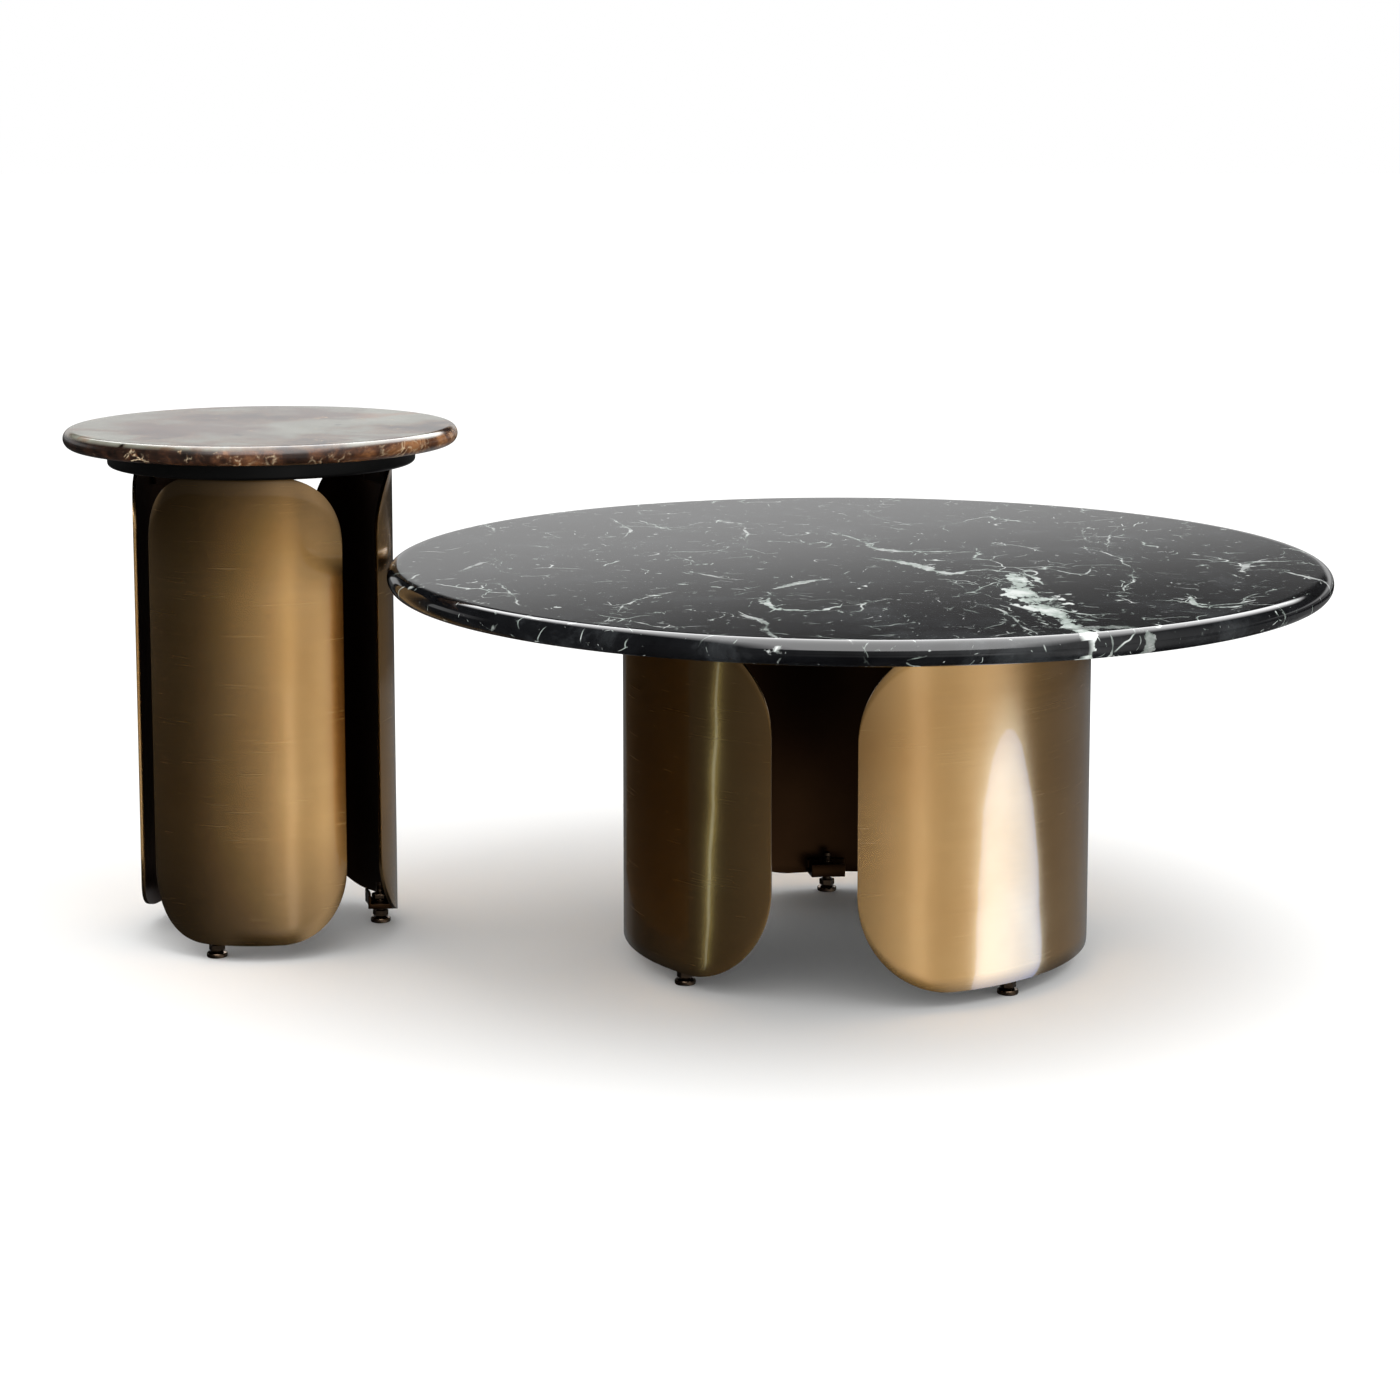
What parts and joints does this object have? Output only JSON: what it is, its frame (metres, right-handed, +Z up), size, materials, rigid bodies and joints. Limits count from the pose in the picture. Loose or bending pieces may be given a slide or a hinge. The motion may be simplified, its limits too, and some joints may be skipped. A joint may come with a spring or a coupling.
{
  "type": "nesting tables",
  "caption": "Pair of round marble-topped tables on open rings of curved brushed brass panels; the tall side table stands over the rim of the low coffee table.",
  "frame": {"origin": "centre of the overall bounding box, on the floor", "axes": "+Z up from the floor; +X from the side table towards the coffee table; -Y towards the pictured front"},
  "size_m": [1.3547, 1, 0.56],
  "materials": {
    "marble_black": "polished black marble with white calcite veins",
    "marble_brown": "polished brown marble with grey-green and red clouds and cream veins",
    "black_lacquer": "black lacquered board, satin",
    "brushed_brass": "antique brass, brushed around the panel, clear lacquer",
    "dark_bronze": "dark bronze coating, satin",
    "dark_steel": "blackened steel hardware"
  },
  "bodies": {
    "coffee_table": {"coffee_top": "marble_black", "coffee_subplate": "black_lacquer", "coffee_panel_1": "brushed_brass", "coffee_panel_2": "brushed_brass", "coffee_panel_3": "brushed_brass", "coffee_flange_1": "dark_bronze", "coffee_flange_2": "dark_bronze", "coffee_flange_3": "dark_bronze", "coffee_screw_1": "dark_steel", "coffee_screw_2": "dark_steel", "coffee_screw_3": "dark_steel", "coffee_channel_1": "dark_bronze", "coffee_channel_2": "dark_bronze", "coffee_channel_3": "dark_bronze", "coffee_bush_1": "dark_steel", "coffee_bush_2": "dark_steel", "coffee_bush_3": "dark_steel", "coffee_jam_nut_1": "dark_steel", "coffee_jam_nut_2": "dark_steel", "coffee_jam_nut_3": "dark_steel"},
    "side_table": {"side_top": "marble_brown", "side_subplate": "black_lacquer", "side_panel_1": "brushed_brass", "side_panel_2": "brushed_brass", "side_panel_3": "brushed_brass", "side_flange_1": "dark_bronze", "side_flange_2": "dark_bronze", "side_flange_3": "dark_bronze", "side_screw_1": "dark_steel", "side_screw_2": "dark_steel", "side_screw_3": "dark_steel", "side_channel_1": "dark_bronze", "side_channel_2": "dark_bronze", "side_channel_3": "dark_bronze", "side_bush_1": "dark_steel", "side_bush_2": "dark_steel", "side_bush_3": "dark_steel", "side_jam_nut_1": "dark_steel", "side_jam_nut_2": "dark_steel", "side_jam_nut_3": "dark_steel"},
    "coffee_foot_pad_1": {"coffee_pad_1": "dark_steel"},
    "coffee_foot_stem_1": {"coffee_stem_1": "dark_steel"},
    "coffee_foot_pad_2": {"coffee_pad_2": "dark_steel"},
    "coffee_foot_stem_2": {"coffee_stem_2": "dark_steel"},
    "coffee_foot_pad_3": {"coffee_pad_3": "dark_steel"},
    "coffee_foot_stem_3": {"coffee_stem_3": "dark_steel"},
    "side_foot_pad_1": {"side_pad_1": "dark_steel"},
    "side_foot_stem_1": {"side_stem_1": "dark_steel"},
    "side_foot_pad_2": {"side_pad_2": "dark_steel"},
    "side_foot_stem_2": {"side_stem_2": "dark_steel"},
    "side_foot_pad_3": {"side_pad_3": "dark_steel"},
    "side_foot_stem_3": {"side_stem_3": "dark_steel"}
  },
  "joints": [
    {"name": "side_table_slide", "type": "slide", "parent": "coffee_table", "child": "side_table", "axis": [-0.9938, 0.1115, 0], "range_m": [0, 0.3]},
    {"name": "coffee_foot_travel_1", "type": "slide", "parent": "coffee_table", "child": "coffee_foot_pad_1", "axis": [0, 0, -1], "range_m": [-0.004, 0.01]},
    {"name": "coffee_foot_turn_1", "type": "hinge", "parent": "coffee_foot_pad_1", "child": "coffee_foot_stem_1", "pos_m": [0.32642, -0.17749, 0.02], "axis": [0, 0, -1], "range_deg": [-965, 2405]},
    {"name": "coffee_foot_travel_2", "type": "slide", "parent": "coffee_table", "child": "coffee_foot_pad_2", "axis": [0, 0, -1], "range_m": [-0.004, 0.01]},
    {"name": "coffee_foot_turn_2", "type": "hinge", "parent": "coffee_foot_pad_2", "child": "coffee_foot_stem_2", "pos_m": [0.15729, 0.23082, 0.02], "axis": [0, 0, -1], "range_deg": [-965, 2405]},
    {"name": "coffee_foot_travel_3", "type": "slide", "parent": "coffee_table", "child": "coffee_foot_pad_3", "axis": [0, 0, -1], "range_m": [-0.004, 0.01]},
    {"name": "coffee_foot_turn_3", "type": "hinge", "parent": "coffee_foot_pad_3", "child": "coffee_foot_stem_3", "pos_m": [-0.0051, -0.14265, 0.02], "axis": [0, 0, -1], "range_deg": [-965, 2405]},
    {"name": "side_foot_travel_1", "type": "slide", "parent": "side_table", "child": "side_foot_pad_1", "axis": [0, 0, -1], "range_m": [-0.004, 0.01]},
    {"name": "side_foot_turn_1", "type": "hinge", "parent": "side_foot_pad_1", "child": "side_foot_stem_1", "pos_m": [-0.50711, -0.04224, 0.02], "axis": [0, 0, -1], "range_deg": [-965, 2405]},
    {"name": "side_foot_travel_2", "type": "slide", "parent": "side_table", "child": "side_foot_pad_2", "axis": [0, 0, -1], "range_m": [-0.004, 0.01]},
    {"name": "side_foot_turn_2", "type": "hinge", "parent": "side_foot_pad_2", "child": "side_foot_stem_2", "pos_m": [-0.34644, 0.09742, 0.02], "axis": [0, 0, -1], "range_deg": [-965, 2405]},
    {"name": "side_foot_travel_3", "type": "slide", "parent": "side_table", "child": "side_foot_pad_3", "axis": [0, 0, -1], "range_m": [-0.004, 0.01]},
    {"name": "side_foot_turn_3", "type": "hinge", "parent": "side_foot_pad_3", "child": "side_foot_stem_3", "pos_m": [-0.54692, 0.16256, 0.02], "axis": [0, 0, -1], "range_deg": [-965, 2405]}
  ],
  "couplings": [
    {"joint": "coffee_foot_turn_1", "follows": "coffee_foot_travel_1", "rad_per_m": 4188.8},
    {"joint": "coffee_foot_turn_2", "follows": "coffee_foot_travel_2", "rad_per_m": 4188.8},
    {"joint": "coffee_foot_turn_3", "follows": "coffee_foot_travel_3", "rad_per_m": 4188.8},
    {"joint": "side_foot_turn_1", "follows": "side_foot_travel_1", "rad_per_m": 4188.8},
    {"joint": "side_foot_turn_2", "follows": "side_foot_travel_2", "rad_per_m": 4188.8},
    {"joint": "side_foot_turn_3", "follows": "side_foot_travel_3", "rad_per_m": 4188.8}
  ]
}
